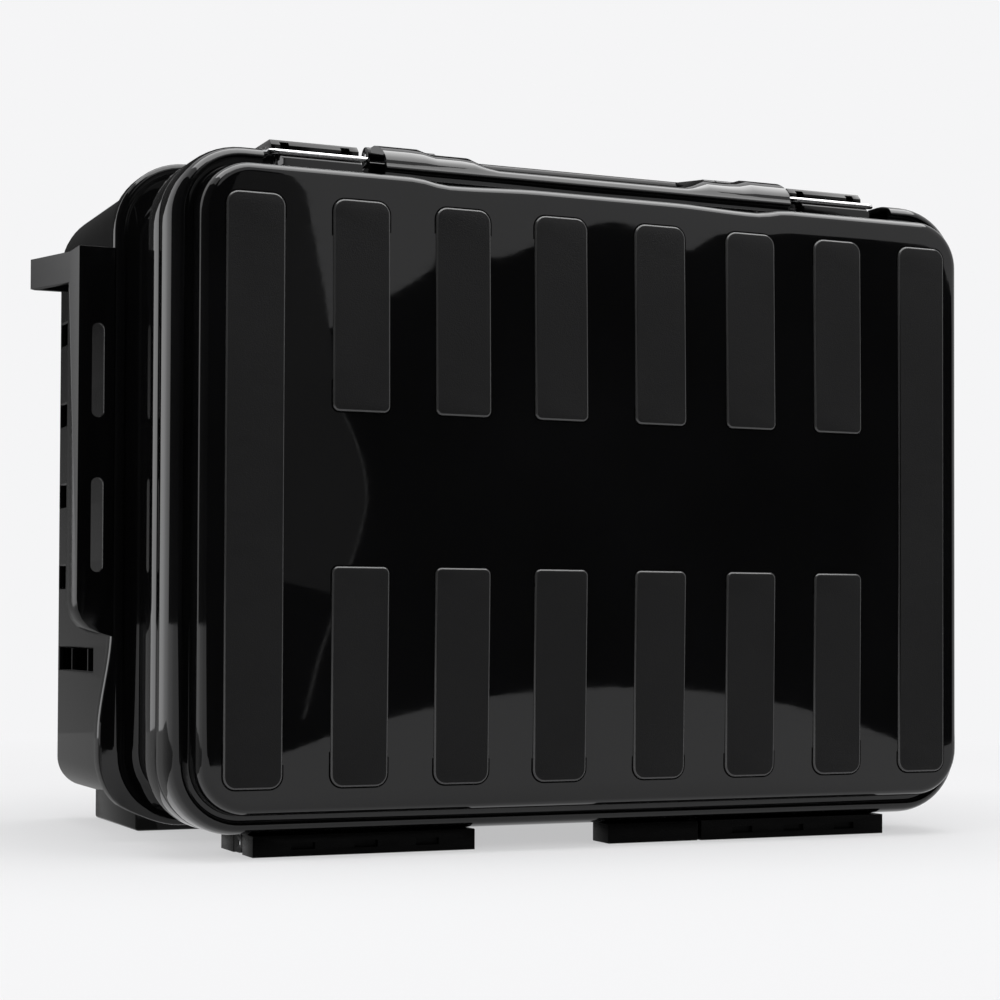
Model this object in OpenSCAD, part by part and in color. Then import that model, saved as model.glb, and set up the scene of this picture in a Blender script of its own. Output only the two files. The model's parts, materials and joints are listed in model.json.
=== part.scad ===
// Hard plastic tackle case, standing on its hinge side with the lid to the front.
// Millimetres, +Z up, the lid faces -Y, origin at the bottom centre of the whole case.
// Inside this file depth is counted from the lid's foremost plane backwards.

/* [Case] */
// Overall depth from the lid pads to the back of the tub
depth = 300; // [296:1:312]
// Width over the rims of lid and tub
rim_w = 480; // [476:1:486]
// Height of the rims of lid and tub
rim_h = 357; // [355:1:360]
// Corner radius of the rims
rim_r = 38; // [34:1:42]
// Height of the lowest rim edge above the ground
rim_z = 11; // [10.5:0.1:11.5]
// Wall thickness of the mouldings
wall = 3; // [2.5:0.1:3.2]

/* [Lid] */
// Depth at which lid and tub meet
seam_y = 45.5; // [45:0.1:46]
// Depth of the front face of the lid's rim
lid_rim_y = 20; // [18:0.5:22]
// Distance from the rim's edge in to the raised panel
panel_in = 11; // [10:0.5:12]
// Radius of the raised panel's front edge
panel_edge_r = 8; // [7:0.5:9]
// How far the pads stand proud of the panel
pad_t = 1.5; // [1.2:0.1:1.8]
// Width of one pad
pad_w = 31.2; // [29:0.2:34]
// Distance from pad to pad
pad_pitch = 57; // [55:0.5:58]
// Extra distance between the two middle pads
pad_mid_gap = 3; // [0:0.5:4]
// Height of the pads' upper ends
pads_top = 340; // [336:1:342]
// Lower ends of the upper row
upper_row_end = 230; // [225:1:235]
// Upper ends of the lower row
lower_row_end = 150; // [145:1:155]
// Height of the pads' lower ends
pads_bottom = 36.5; // [35:0.5:40]

/* [Tub] */
// Depth at which the body's front rim ends and the neck starts
neck_y = 68; // [66:1:70]
// How far the neck lies inside the rim
neck_in = 14; // [13:0.5:15]
// Depth of the front face of the second flange
flange_y = 130; // [126:1:134]
// Width of the second flange
flange_w = 484; // [480:1:486]
// Height of the second flange's upper edge
flange_top = 378; // [374:1:380]
// Height of the second flange's lower edge
flange_bottom = 8; // [6:0.5:10]
// Width of the tub behind the second flange
tub_w = 472; // [470:1:476]
// Height of the tub's upper face
tub_top = 376; // [372:1:378]
// Height of the tub's lower face
tub_bottom = 20; // [18:1:22]
// Corner radius of the tub
tub_r = 30; // [24:1:34]
// Number of grip recesses on each side wall
recess_count = 5; // [4:1:5]
// Distance from recess to recess
recess_pitch = 49.8; // [46:0.1:50]

/* [Side rails] */
// How far the side rails stand out from the middle of the case
rail_x = 262; // [258:1:266]
// Height of the side rails' upper edge
rail_top = 328; // [324:1:330]
// Height of the side rails' lower edge
rail_bottom = 113; // [110:1:118]
// Width of the slots in the side rails
rail_slot_w = 7; // [6:0.5:8]
// Length of the slots in the side rails
rail_slot_len = 52; // [46:1:54]
// Height of the middle of the upper slot
rail_slot_upper = 259.8; // [256:0.1:262]
// Distance between the two slots
rail_slot_pitch = 85.3; // [80:0.1:88]

/* [Latches] */
// Distance from the middle of the case to the middle of each latch
latch_x = 157.8; // [156:0.2:160]
// Width of the latch levers
lever_w = 49; // [46:1:50]
// Length of the latch levers
lever_len = 54; // [48:1:58]
// Diameter of the bail wire
bail_d = 3; // [2.6:0.1:3]

/* [Handle] */
// Width of the handle over its arms
handle_w = 183; // [175:1:190]
// Height of the grip's upper side when folded
grip_top = 384; // [382:0.5:385]
// Depth of the grip's middle when folded
grip_y = 92; // [90:1:95]

/* [Hinge] */
// Depth of the hinge axis
hinge_y = 46; // [45.5:0.1:46.2]
// Height of the hinge axis
hinge_z = 5.6; // [5.5:0.05:5.7]
// Diameter of the hinge rods
hinge_rod_d = 3; // [2.6:0.1:3.2]

/* [Hidden] */
$fn = 64;

eps = 0.01;
mid_z = rim_z + rim_h / 2;
press = 0.02;       // overlap of a pin pressed into its seat
running = 0.06;     // radial clearance of a pin in a turning hole
gap = 0.5;          // side clearance between turning pieces

// lid
panel_y = pad_t;
panel_w = rim_w - 2 * panel_in;
panel_h = rim_h - 2 * panel_in;
panel_r = rim_r - panel_in;
lip_r = 2.5;
seam_gap = 0.5;
lid_back = seam_y - seam_gap;
gasket_y = 35.5;
gasket_t = 4.9;
pad_big_r = 6.6;
pad_small_r = 3.4;
function pad_place(i) = (i + 0.5) * pad_pitch + pad_mid_gap / 2;
inner_places = [for (s = [-1, 1], i = [0:2]) s * pad_place(i)];
channel_in = [14.2, 19.8];
seal_rib_t = 2.2;

// tub
body_front = seam_y + seam_gap;
neck_w = rim_w - 2 * neck_in;
neck_h = rim_h - 2 * neck_in;
neck_r = rim_r - neck_in;
mouth_w = neck_w - 2 * wall;
mouth_h = neck_h - 2 * wall;
mouth_r = neck_r - wall;
flange_h = flange_top - flange_bottom;
flange_mid = (flange_top + flange_bottom) / 2;
flange_r = 40;
flange_t = 14;
rail_screw_r = 1.6;
boss_t = 6;
rail_screw_z = [rail_bottom + 20, rail_slot_upper - rail_slot_pitch / 2, rail_top - 12];
tub_h = tub_top - tub_bottom;
tub_mid = (tub_top + tub_bottom) / 2;
tub_back_r = 10;
tub_start = flange_y + flange_t;
skirt_x = 249;
skirt_z = [14, 100];
recess_y = [201, 292];
recess_h = 13;
recess_deep = 6;
recess_low = 98.8;
rib_y = [218, 259];
rib_t = 3;
tray_ledge_y = 60;
tongue_in = 14.6;
tongue_h = 4.8;

// latch
latch_bay_w = 68;
bay_floor_lid = rim_z + rim_h - panel_in;
bay_floor_tub = rim_z + rim_h - neck_in;
lever_axis = [50, 370];
bail_axis = [58, 372.5];
bail_bar = [29, 367];
bail_gap = 0.3;
catch_top = bail_bar[1] - bail_d / 2 - bail_gap;
latch_pin_r = 1.5;
bail_bend = 4;
bail_end_bend = 2.4;
hood_x = [68, 97, 123];
hood_rise = 9.5;
ear_in = 15;
ear_t = 4;
ear_r = 3.5;
lever_front = 38;
lever_top = 375.8;
lever_skin = 2.5;

// handle
handle_axis = [54, 373.8];
handle_hub_r = 5.4;
handle_arm_t = 7.5;
handle_pin_r = 2;
lug_t = 32;
lug_screw_r = 1.5;
lug_screw_x = handle_w / 2 + gap + lug_t / 2;
lug_screw_y = 63;
grip_d = 16;
grip_h = 13;

// hinge
knuckle_r = 5.2;
knuckle_len = 11;
leaf_y = [22, 40];
block_y = [55.5, 78];
left_hinge_x = [-195, -71];
right_hinge_x = [67, 187];
foot_x = [9, 65];
window_w = 13;

// inside
tray_w = mouth_w - 11;
tray_h = mouth_h - 11;
tray_y = [54, 100];
tray_t = 2.5;

// helpers

module from_front() {
    translate([0, -depth / 2, 0]) children();
}

// rounded rectangle in the plane of the lid, centred, made of true arcs
module rrect(w, h, r) {
    square([w - 2 * r, h], center = true);
    square([w, h - 2 * r], center = true);
    for (sx = [-1, 1], sy = [-1, 1])
        translate([sx * (w / 2 - r), sy * (h / 2 - r)]) circle(r);
}

// a flat outline (width, height) carried from depth y0 to depth y1
module slab(y0, y1, z = 0) {
    translate([0, y1, z]) rotate([90, 0, 0]) linear_extrude(y1 - y0) children();
}

// sweeps a section round a rounded rectangle; the section's x points outwards from the
// outline and its y points backwards
module frame_sweep(w, h, r, z) {
    translate([0, 0, z])
        for (turn = [0:3]) {
            across = turn % 2 == 0 ? w : h;
            along = turn % 2 == 0 ? h : w;
            rotate([0, -90 * turn, 0]) {
                translate([across / 2, 0, -(along / 2 - r)]) linear_extrude(along - 2 * r) children();
                translate([across / 2 - r, 0, along / 2 - r]) rotate([-90, 0, 0]) rotate([0, 0, -90])
                    rotate_extrude(angle = 90) translate([r, 0]) children();
            }
        }
}

module tube_ring(w, h, r, t, y0, y1, z) {
    slab(y0, y1, z) difference() {
        rrect(w, h, r);
        rrect(w - 2 * t, h - 2 * t, r - t);
    }
}

// quarter-round wall section that turns a side wall into a front face
module round_edge_section(r, t, y) {
    translate([-r, y + r]) intersection() {
        difference() {
            circle(r);
            circle(r - t);
        }
        translate([0, -r]) square(r);
    }
}

module x_rod(r, x0, x1, y, z) {
    translate([x0, y, z]) rotate([0, 90, 0]) cylinder(r = r, h = x1 - x0);
}

module box(x, y, z) {
    translate([x[0], y[0], z[0]]) cube([x[1] - x[0], y[1] - y[0], z[1] - z[0]]);
}

module latch_bays(y, floor_z) {
    for (s = [-1, 1])
        translate([s * latch_x, 0, 0])
            box([-latch_bay_w / 2, latch_bay_w / 2], y, [floor_z, rim_z + rim_h + 5]);
}

// lid

module lid_shell() {
    color([0.035, 0.035, 0.038]) from_front() {
        slab(panel_y, panel_y + wall, mid_z)
            rrect(panel_w - 2 * panel_edge_r, panel_h - 2 * panel_edge_r, panel_r - panel_edge_r);
        frame_sweep(panel_w, panel_h, panel_r, mid_z) {
            round_edge_section(panel_edge_r, wall, panel_y);
            translate([-wall, panel_y + panel_edge_r]) square([wall, lid_back - panel_y - panel_edge_r]);
        }
        difference() {
            frame_sweep(rim_w, rim_h, rim_r, mid_z) lid_rim_section();
            latch_bays([lid_rim_y - 1, lid_back + 1], bay_floor_lid);
        }
        frame_sweep(rim_w, rim_h, rim_r, mid_z) seal_channel_section();
        lid_catches();
        for (s = [0, 1])
            mirror([s, 0, 0]) {
                lid_hood([hood_x[0], hood_x[1] + eps], 0.75);
                lid_hood([hood_x[1], hood_x[2]], 1);
            }
    }
}

// a rise of the lid's upper rim in front of the handle's lug and hub
module lid_hood(x, share) {
    rim_top = rim_z + rim_h;
    rise = hood_rise * share;
    translate([x[0], 0, 0]) rotate([90, 0, 90]) linear_extrude(x[1] - x[0])
        polygon([
            [lid_rim_y + 2, rim_top - 1], [lid_rim_y + 6, rim_top + rise * 0.5],
            [lid_rim_y + 12, rim_top + rise * 0.82], [lid_rim_y + 20, rim_top + rise],
            [lid_back, rim_top + rise], [lid_back, rim_top - 1]
        ]);
}

// the seat behind the seal and the rib inside it
module seal_channel_section() {
    inside = channel_in[1] + 0.2;
    translate([-inside - seal_rib_t, gasket_y - wall]) square([inside + seal_rib_t - panel_in - 1, wall]);
    translate([-inside - seal_rib_t, gasket_y - eps]) square([seal_rib_t, lid_back - 1 - gasket_y]);
}

module lid_rim_section() {
    translate([-panel_in - eps, lid_rim_y]) square([panel_in - lip_r + eps, wall]);
    intersection() {
        difference() {
            translate([-lip_r - 1, lid_rim_y + lip_r + 1]) circle(lip_r + 1);
            translate([-lip_r - 1, lid_rim_y + lip_r + 1]) circle(lip_r + 1 - wall);
        }
        translate([-lip_r - 1, lid_rim_y]) square(lip_r + 1);
    }
    translate([-wall, lid_rim_y + lip_r + 1]) square([wall, lid_back - lid_rim_y - lip_r - 1]);
}

// raised bars that the latch bails lie over
module lid_catches() {
    half = 22;
    for (s = [-1, 1])
        translate([s * latch_x, 0, 0]) {
            box([-half, half], [bail_bar[0] - 4, bail_bar[0] + 5], [bay_floor_lid - 1, catch_top - 2]);
            x_rod(2, -half, half, bail_bar[0], catch_top - 2);
        }
}

module lid_gasket() {
    color([0.12, 0.12, 0.12]) from_front()
        frame_sweep(rim_w, rim_h, rim_r, mid_z)
            translate([-channel_in[1], gasket_y]) square([channel_in[1] - channel_in[0], gasket_t]);
}

// a pad outline from z0 to z1 with large corners at the outer end and small ones at the inner
module pad_outline(z0, z1, low_r, high_r) {
    translate([-pad_w / 2 + low_r, z0]) square([pad_w - 2 * low_r, z1 - z0 - high_r]);
    translate([-pad_w / 2 + high_r, z0 + low_r]) square([pad_w - 2 * high_r, z1 - z0 - low_r]);
    translate([-pad_w / 2, z0 + low_r]) square([pad_w, z1 - z0 - low_r - high_r]);
    for (s = [-1, 1]) {
        translate([s * (pad_w / 2 - low_r), z0 + low_r]) circle(low_r);
        translate([s * (pad_w / 2 - high_r), z1 - high_r]) circle(high_r);
    }
}

module pad_row(places, z0, z1, low_r, high_r) {
    color([0.13, 0.13, 0.135]) from_front()
        for (x = places)
            translate([x, 0, 0]) slab(0, panel_y) pad_outline(z0, z1, low_r, high_r);
}

module long_pads() {
    pad_row([-pad_place(3), pad_place(3)], pads_bottom, pads_top, pad_big_r, pad_big_r);
}

module upper_pads() {
    pad_row(inner_places, upper_row_end, pads_top, pad_small_r, pad_big_r);
}

module lower_pads() {
    pad_row(inner_places, pads_bottom, lower_row_end, pad_big_r, pad_small_r);
}

// tub

module base_shell() {
    color([0.04, 0.04, 0.043]) from_front() {
        difference() {
            union() {
                front_rim();
                recess_boxes();
            }
            latch_bays([body_front - 1, neck_y + 1], bay_floor_tub);
            recesses();
            for (s = [-1, 1])
                translate([s * lug_screw_x, lug_screw_y, rim_z + rim_h - wall - 1])
                    cylinder(r = lug_screw_r - press, h = wall + 2);
        }
        neck();
        difference() {
            tub_walls();
            recesses();
        }
        second_flange();
        tray_ledge();
    }
}

module front_rim() {
    difference() {
        union() {
            slab(body_front, body_front + wall, mid_z) rrect(rim_w, rim_h, rim_r);
            tube_ring(rim_w, rim_h, rim_r, wall, body_front, neck_y, mid_z);
            tube_ring(rim_w - 2 * tongue_in, rim_h - 2 * tongue_in, rim_r - tongue_in,
                      neck_in + wall - tongue_in, body_front - tongue_h, body_front, mid_z);
        }
        slab(body_front - 1, body_front + wall + 1, mid_z) rrect(mouth_w, mouth_h, mouth_r);
    }
}

module neck() {
    tube_ring(neck_w, neck_h, neck_r, wall, body_front, flange_y + wall, mid_z);
}

module second_flange() {
    fillet = 10;
    frame_sweep(neck_w, neck_h, neck_r, mid_z)
        translate([-eps, flange_y - fillet]) difference() {
            square([fillet, fillet + eps]);
            translate([fillet, 0]) circle(fillet);
        }
    difference() {
        slab(flange_y, flange_y + wall, 0) {
            translate([0, flange_mid]) rrect(flange_w, flange_h, flange_r);
            flange_skirts();
        }
        slab(flange_y - 1, flange_y + wall + 1, mid_z) rrect(mouth_w, mouth_h, mouth_r);
    }
    difference() {
        slab(flange_y + wall - eps, tub_start, 0) {
            translate([0, flange_mid]) rrect(flange_w, flange_h, flange_r);
            flange_skirts();
        }
        slab(flange_y + wall - 1, tub_start + 1, flange_mid)
            rrect(flange_w - 2 * wall, flange_h - 2 * wall, flange_r - wall);
        for (s = [0, 1], z = rail_screw_z)
            mirror([s, 0, 0])
                x_rod(rail_screw_r - press, flange_w / 2 - wall - 1, flange_w / 2 + 1, flange_y + 10, z);
    }
}

// the flange swells sideways towards its lower corners
module flange_skirts() {
    shoulder = 45;
    toe = 16;
    for (s = [0, 1])
        mirror([s, 0])
            polygon([
                [flange_w / 2 - 20, skirt_z[1] + 10], [flange_w / 2, skirt_z[1] + 10],
                [flange_w / 2 + 2, skirt_z[1] - 15], [skirt_x - 1, skirt_z[0] + shoulder],
                [skirt_x, skirt_z[0] + 30], [skirt_x - 3, skirt_z[0] + toe],
                [skirt_x - 11, skirt_z[0] + 4], [skirt_x - 24, skirt_z[0] - 4],
                [flange_w / 2 - 42, flange_bottom + 2], [flange_w / 2 - 42, flange_bottom + 20]
            ]);
}

module tub_walls() {
    back = depth - tub_back_r;
    tube_ring(tub_w, tub_h, tub_r, wall, flange_y + wall, back, tub_mid);
    frame_sweep(tub_w, tub_h, tub_r, tub_mid)
        translate([0, depth]) mirror([0, 1]) round_edge_section(tub_back_r, wall, 0);
    slab(depth - wall, depth, tub_mid)
        rrect(tub_w - 2 * tub_back_r, tub_h - 2 * tub_back_r, tub_r - tub_back_r);
    slab(flange_y + wall, tub_start, tub_mid) difference() {
        rrect(tub_w, tub_h, tub_r);
        rrect(tub_w - 2 * wall, tub_h - 2 * wall, tub_r - wall);
    }
}

function recess_z(i) = recess_low + i * recess_pitch;

// the lowest row has one more cell at the front than the rows behind the rail
function recess_first(i) = i == 0 ? 0 : 1;
function recess_stops() = concat([recess_y[0] - rib_t], rib_y, [recess_y[1]]);

module recess_boxes() {
    for (s = [0, 1], i = [0:recess_count - 1])
        mirror([s, 0, 0])
            box([tub_w / 2 - recess_deep - wall, tub_w / 2 - wall + eps],
                [recess_stops()[recess_first(i)] + rib_t - wall, depth - tub_back_r],
                [recess_z(i) - recess_h / 2 - wall, recess_z(i) + recess_h / 2 + wall]);
}

module recesses() {
    stops = recess_stops();
    for (s = [0, 1], i = [0:recess_count - 1], k = [recess_first(i):2])
        mirror([s, 0, 0])
            box([tub_w / 2 - recess_deep, tub_w / 2 + 1], [stops[k] + rib_t, stops[k + 1]],
                [recess_z(i) - recess_h / 2, recess_z(i) + recess_h / 2]);
}

module tray_ledge() {
    tube_ring(mouth_w + eps, mouth_h + eps, mouth_r, 4, tray_ledge_y, tray_ledge_y + wall, mid_z);
}

module rear_foot(s) {
    rear_foot_x = [120, 213];
    foot_y = [189, 289];
    color([0.05, 0.05, 0.052]) from_front() mirror([s < 0 ? 1 : 0, 0, 0])
        difference() {
            box(rear_foot_x, foot_y, [0, tub_bottom]);
            box([rear_foot_x[0] + 8, rear_foot_x[1] - 8], [foot_y[0] + 8, foot_y[1] - 8], [-1, tub_bottom - 6]);
        }
}

module rear_foot_left() {
    rear_foot(-1);
}

module rear_foot_right() {
    rear_foot(1);
}

// plain block under the lid's rim beside the right hinge
module lid_foot() {
    color([0.05, 0.05, 0.052]) from_front() box(foot_x, [leaf_y[0], leaf_y[1] + 2], [0, rim_z]);
}

// side rails with two slots, an outer flange and a strap loop at the upper end

module side_rail(s) {
    web_y = [flange_y + 1, flange_y + 5];
    lip_y = flange_y + 28;
    skin = 3.5;
    color([0.045, 0.045, 0.048]) from_front() mirror([s < 0 ? 1 : 0, 0, 0]) {
        slab(web_y[0], web_y[1], 0) difference() {
            rail_outline();
            for (k = [0, 1])
                translate([flange_w / 2 + 9, rail_slot_upper - k * rail_slot_pitch]) rail_slot();
        }
        slab(web_y[1] - eps, lip_y, 0) difference() {
            rail_outline();
            translate([-skin, skin]) rail_outline();
        }
        strap_loop(lip_y);
        rail_bosses(web_y[1]);
    }
}

// the rail seen from the front, its lower end turned in to the flange in a curve
module rail_outline() {
    polygon([
        [flange_w / 2, rail_bottom], [rail_x - 13, rail_bottom + 2], [rail_x - 7, rail_bottom + 5],
        [rail_x - 3, rail_bottom + 9.5], [rail_x - 0.8, rail_bottom + 14.5],
        [rail_x, rail_bottom + 20], [rail_x, rail_top], [flange_w / 2, rail_top]
    ]);
}

module rail_slot() {
    straight = rail_slot_len - rail_slot_w;
    square([rail_slot_w, straight], center = true);
    for (e = [-1, 1])
        translate([0, e * straight / 2]) circle(rail_slot_w / 2);
}

module strap_loop(start_y) {
    loop_x = rail_x + 14;
    loop_back = 195;
    skin = 4;
    tall = 17;
    translate([0, 0, rail_top - tall]) linear_extrude(tall)
        polygon([
            [rail_x - 3.5, start_y - 4], [rail_x, start_y - 4], [loop_x, loop_back - 3],
            [loop_x - 3, loop_back], [tub_w / 2, loop_back], [tub_w / 2, loop_back - skin],
            [loop_x - 5, loop_back - skin], [rail_x - 3.5, start_y]
        ]);
}

// the rail meets the flange's side along bosses that take the screws
module rail_bosses(y) {
    for (z = rail_screw_z)
        difference() {
            box([flange_w / 2, flange_w / 2 + boss_t], [y - eps, tub_start], [z - 5, z + 5]);
            x_rod(rail_screw_r - press, flange_w / 2 - 1, flange_w / 2 + boss_t + 1, flange_y + 10, z);
        }
}

module side_rail_left() {
    side_rail(-1);
}

module side_rail_right() {
    side_rail(1);
}

module rail_screws() {
    color([0.6, 0.6, 0.6]) from_front()
        for (s = [0, 1], z = rail_screw_z)
            mirror([s, 0, 0]) {
                x_rod(rail_screw_r, flange_w / 2 - wall, flange_w / 2 + boss_t, flange_y + 10, z);
                x_rod(3, flange_w / 2 + boss_t, flange_w / 2 + boss_t + 2, flange_y + 10, z);
            }
}

// hinges: a block under the tub's rim and a leaf under the lid's rim share one rod

module knuckles(x, first, bore_r) {
    count = floor((x[1] - x[0]) / knuckle_len);
    for (i = [0:count - 1])
        if (i % 2 == first)
            translate([x[0] + i * knuckle_len + gap / 2, 0, 0])
                difference() {
                    union() {
                        x_rod(knuckle_r, 0, knuckle_len - gap, hinge_y, hinge_z);
                        if (first == 0)
                            box([0, knuckle_len - gap], [hinge_y, block_y[0] + 1],
                                [hinge_z - knuckle_r, hinge_z + knuckle_r]);
                        else
                            box([0, knuckle_len - gap], [leaf_y[1] - 1, hinge_y],
                                [hinge_z - knuckle_r, hinge_z + knuckle_r]);
                    }
                    x_rod(bore_r, -1, knuckle_len + 1, hinge_y, hinge_z);
                }
}

module hinge_block(x) {
    color([0.045, 0.045, 0.048]) from_front() {
        box(x, block_y, [0, rim_z]);
        knuckles(x, 0, hinge_rod_d / 2 - press);
    }
}

module hinge_block_left() {
    hinge_block(left_hinge_x);
}

module hinge_block_right() {
    hinge_block(right_hinge_x);
}

module lid_leaf(x) {
    window_pitch = (x[1] - x[0]) * 0.28;
    middle = (x[0] + x[1]) / 2;
    color([0.045, 0.045, 0.048]) from_front() {
        difference() {
            box(x, leaf_y, [0, rim_z]);
            for (k = [-1, 0, 1])
                box([middle + k * window_pitch - window_w / 2, middle + k * window_pitch + window_w / 2],
                    [leaf_y[0] - 1, leaf_y[0] + 3], [3.5, 7]);
        }
        knuckles(x, 1, hinge_rod_d / 2 + running);
    }
}

module lid_leaf_left() {
    lid_leaf(left_hinge_x);
}

module lid_leaf_right() {
    lid_leaf(right_hinge_x);
}

module hinge_rods() {
    color([0.75, 0.76, 0.77]) from_front()
        for (x = [left_hinge_x, right_hinge_x]) {
            count = floor((x[1] - x[0]) / knuckle_len);
            x_rod(hinge_rod_d / 2, x[0] + gap, x[0] + count * knuckle_len - gap, hinge_y, hinge_z);
        }
}

// latches: a bracket on the tub, a lever turning in it and a wire bail turning in the lever

module latch_bracket(s) {
    color([0.045, 0.045, 0.048]) from_front() translate([s * latch_x, 0, 0]) {
        box([-26, 26], [body_front + 1, neck_y - 2], [bay_floor_tub, bay_floor_tub + 3.5]);
        for (e = [-1, 1])
            difference() {
                union() {
                    box([e * (ear_in + ear_t / 2) - ear_t / 2, e * (ear_in + ear_t / 2) + ear_t / 2],
                        [lever_axis[0] - ear_r, lever_axis[0] + ear_r], [bay_floor_tub, lever_axis[1]]);
                    x_rod(ear_r, e * (ear_in + ear_t / 2) - ear_t / 2, e * (ear_in + ear_t / 2) + ear_t / 2,
                          lever_axis[0], lever_axis[1]);
                }
                x_rod(latch_pin_r - press, -30, 30, lever_axis[0], lever_axis[1]);
            }
    }
}

module latch_bracket_left() {
    latch_bracket(-1);
}

module latch_bracket_right() {
    latch_bracket(1);
}

module latch_pin(s) {
    color([0.75, 0.76, 0.77]) from_front() translate([s * latch_x, 0, 0])
        x_rod(latch_pin_r, -ear_in - ear_t, ear_in + ear_t, lever_axis[0], lever_axis[1]);
}

module latch_pin_left() {
    latch_pin(-1);
}

module latch_pin_right() {
    latch_pin(1);
}

// side outline of the lever, depth and height
module lever_outline(inset) {
    back = lever_front + lever_len;
    polygon([
        [lever_front + inset, lever_axis[1] - (inset > 0 ? 20 : 0)],
        [lever_front + inset, lever_top - 3 - inset], [lever_front + 3 + inset, lever_top - inset],
        [back - 22, lever_top - inset], [back - 4 - inset, lever_top - 4 - inset],
        [back - inset, lever_top - 6.5 - inset], [back - inset, lever_top - 9 - inset],
        [back - 24, lever_axis[1] - 1 - inset * 6]
    ]);
}

module lever_side(x0, x1, inset) {
    translate([x0, 0, 0]) rotate([90, 0, 90]) linear_extrude(x1 - x0) lever_outline(inset);
}

module latch_lever(s) {
    half = lever_w / 2;
    color([0.05, 0.05, 0.053]) from_front() translate([s * latch_x, 0, 0])
        difference() {
            union() {
                difference() {
                    lever_side(-half, half, 0);
                    lever_side(-half + lever_skin, half - lever_skin, lever_skin);
                }
                x_rod(ear_r, -ear_in + gap, ear_in - gap, lever_axis[0], lever_axis[1]);
                for (x = [-9, 0, 9])
                    box([x - 1, x + 1], [lever_axis[0] - 1, lever_axis[0] + 12],
                        [lever_axis[1] + 2, lever_top - 1]);
            }
            x_rod(latch_pin_r + running, -ear_in, ear_in, lever_axis[0], lever_axis[1]);
            x_rod(bail_d / 2 + running, -half - 1, half + 1, bail_axis[0], bail_axis[1]);
            for (e = [-1, 1])
                box([e * (ear_in + ear_t / 2) - ear_t / 2 - gap, e * (ear_in + ear_t / 2) + ear_t / 2 + gap],
                    [lever_front - 1, lever_axis[0] + ear_r + 2], [lever_axis[1] - 5, lever_axis[1] + 4.6]);
        }
}

module latch_lever_left() {
    latch_lever(-1);
}

module latch_lever_right() {
    latch_lever(1);
}

// one wire bent four times: front bar, two side wires and two inward ends that turn in the lever
module latch_bail(s) {
    wire_x = lever_w / 2 + 1.2 + bail_d / 2;
    rise = bail_axis[1] - bail_bar[1];
    run = bail_axis[0] - bail_bar[0];
    reach = norm([rise, run]);
    color([0.8, 0.81, 0.82]) from_front()
        translate([s * latch_x, bail_bar[0], bail_bar[1]]) rotate([atan2(rise, run), 0, 0]) {
            x_rod(bail_d / 2, -wire_x + bail_bend, wire_x - bail_bend, 0, 0);
            for (side = [0, 1])
                mirror([side, 0, 0]) {
                    translate([wire_x - bail_bend, bail_bend, 0]) rotate([0, 0, -90]) wire_bend(bail_bend);
                    translate([wire_x, bail_bend, 0]) rotate([-90, 0, 0])
                        cylinder(r = bail_d / 2, h = reach - bail_bend - bail_end_bend);
                    translate([wire_x - bail_end_bend, reach - bail_end_bend, 0]) wire_bend(bail_end_bend);
                    x_rod(bail_d / 2, lever_w / 2 - lever_skin, wire_x - bail_end_bend, reach, 0);
                }
        }
}

module wire_bend(r) {
    rotate_extrude(angle = 90) translate([r, 0]) circle(bail_d / 2);
}

module latch_bail_left() {
    latch_bail(-1);
}

module latch_bail_right() {
    latch_bail(1);
}

// handle

module handle() {
    half = handle_w / 2;
    color([0.05, 0.05, 0.053]) from_front() {
        for (s = [0, 1])
            mirror([s, 0, 0])
                difference() {
                    union() {
                        x_rod(handle_hub_r, half - handle_arm_t, half, handle_axis[0], handle_axis[1]);
                        translate([half - handle_arm_t, 0, 0]) rotate([90, 0, 90])
                            linear_extrude(handle_arm_t)
                                polygon([
                                    [handle_axis[0], handle_axis[1] - 5], [handle_axis[0], handle_axis[1] + 5.3],
                                    [grip_y, grip_top], [grip_y, grip_top - grip_h]
                                ]);
                    }
                    x_rod(handle_pin_r + running, 0, half + 1, handle_axis[0], handle_axis[1]);
                }
        translate([-half, grip_y, grip_top - grip_h / 2]) rotate([90, 0, 90])
            linear_extrude(handle_w) rrect(grip_d, grip_h, 5);
    }
}

module handle_lug(s) {
    x0 = handle_w / 2 + gap;
    color([0.045, 0.045, 0.048]) from_front() mirror([s < 0 ? 1 : 0, 0, 0])
        difference() {
            union() {
                box([x0, x0 + lug_t], [body_front + 1, neck_y - 2], [rim_z + rim_h, handle_axis[1] - 3]);
                box([x0, x0 + lug_t], [handle_axis[0] - 5, handle_axis[0] + 5],
                    [rim_z + rim_h, handle_axis[1]]);
                x_rod(5.5, x0, x0 + lug_t, handle_axis[0], handle_axis[1]);
            }
            x_rod(handle_pin_r - press, x0 - 1, x0 + lug_t + 1, handle_axis[0], handle_axis[1]);
            translate([x0 + lug_t / 2, lug_screw_y, rim_z + rim_h - 1]) cylinder(r = lug_screw_r - press, h = 9);
        }
}

module handle_lug_left() {
    handle_lug(-1);
}

module handle_lug_right() {
    handle_lug(1);
}

module handle_pins() {
    x0 = handle_w / 2 - handle_arm_t;
    x1 = handle_w / 2 + gap + lug_t;
    color([0.75, 0.76, 0.77]) from_front()
        for (s = [0, 1])
            mirror([s, 0, 0]) x_rod(handle_pin_r, x0, x1, handle_axis[0], handle_axis[1]);
}

module lug_screws() {
    seat = handle_axis[1] - 3;
    color([0.6, 0.6, 0.6]) from_front()
        for (s = [-1, 1])
            translate([s * lug_screw_x, lug_screw_y, 0]) {
                translate([0, 0, rim_z + rim_h - wall]) cylinder(r = lug_screw_r, h = seat - rim_z - rim_h + wall);
                translate([0, 0, seat]) cylinder(r = 2.6, h = 1.6);
            }
}

// inside

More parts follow.
